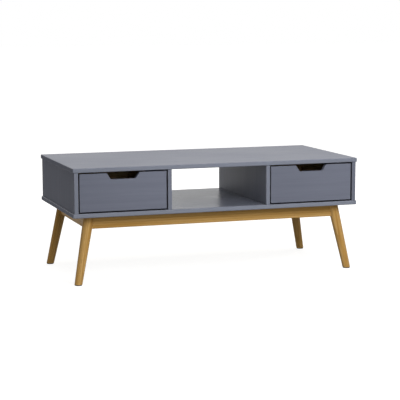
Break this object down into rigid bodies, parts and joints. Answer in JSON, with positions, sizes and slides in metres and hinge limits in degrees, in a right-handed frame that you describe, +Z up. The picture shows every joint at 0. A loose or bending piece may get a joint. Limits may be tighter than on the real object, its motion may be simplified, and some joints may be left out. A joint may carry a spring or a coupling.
{
  "type": "storage coffee table",
  "caption": "Low coffee table with a grey cabinet, a drawer at each end of an open middle niche, and round splayed wooden legs under an apron frame.",
  "frame": {"origin": "on the floor, under the middle of the table", "axes": "+X to the right along the table's length, -Y to the front where the drawers open, +Z up"},
  "size_m": [1.106, 0.53, 0.428],
  "materials": {
    "grey_wood": "satin grey paint over fine-grained wood",
    "leg_wood": "golden stain under clear satin lacquer",
    "drawer_wood": "bare planed pine",
    "drawer_ply": "bare plywood",
    "runner_wood": "planed hardwood, waxed",
    "back_board": "matt grey paint on thin board",
    "peg_wood": "bare beech",
    "steel": "zinc plated",
    "zinc": "dull cast zinc",
    "foot_pad": "matt dark plastic"
  },
  "bodies": {
    "table": {"back_left_corner_block": "leg_wood", "back_left_glide": "foot_pad", "back_left_leg": "leg_wood", "back_rail": "leg_wood", "back_right_corner_block": "leg_wood", "back_right_glide": "foot_pad", "back_right_leg": "leg_wood", "block_screws": "steel", "cam_bolts": "steel", "cam_discs": "zinc", "carcass_screws": "steel", "corner_bolts": "steel", "corner_nuts": "steel", "corner_washers": "steel", "floor_panel": "grey_wood", "frame_screws": "steel", "front_left_corner_block": "leg_wood", "front_left_glide": "foot_pad", "front_left_leg": "leg_wood", "front_rail": "leg_wood", "front_right_corner_block": "leg_wood", "front_right_glide": "foot_pad", "front_right_leg": "leg_wood", "left_back_panel": "back_board", "left_bay_inner_runner": "runner_wood", "left_bay_outer_runner": "runner_wood", "left_divider": "grey_wood", "left_end_panel": "grey_wood", "left_rail": "leg_wood", "panel_pegs": "peg_wood", "right_back_panel": "back_board", "right_bay_inner_runner": "runner_wood", "right_bay_outer_runner": "runner_wood", "right_divider": "grey_wood", "right_end_panel": "grey_wood", "right_rail": "leg_wood", "runner_screws": "steel", "top_panel": "grey_wood"},
    "left_drawer": {"left_drawer_back": "drawer_wood", "left_drawer_bottom": "drawer_ply", "left_drawer_front": "grey_wood", "left_drawer_left_side": "drawer_wood", "left_drawer_pegs": "peg_wood", "left_drawer_right_side": "drawer_wood"},
    "right_drawer": {"right_drawer_back": "drawer_wood", "right_drawer_bottom": "drawer_ply", "right_drawer_front": "grey_wood", "right_drawer_left_side": "drawer_wood", "right_drawer_pegs": "peg_wood", "right_drawer_right_side": "drawer_wood"}
  },
  "joints": [
    {"name": "left_drawer_slide", "type": "slide", "parent": "table", "child": "left_drawer", "axis": [0, -1, 0], "range_m": [0, 0.33]},
    {"name": "right_drawer_slide", "type": "slide", "parent": "table", "child": "right_drawer", "axis": [0, -1, 0], "range_m": [0, 0.33]}
  ]
}
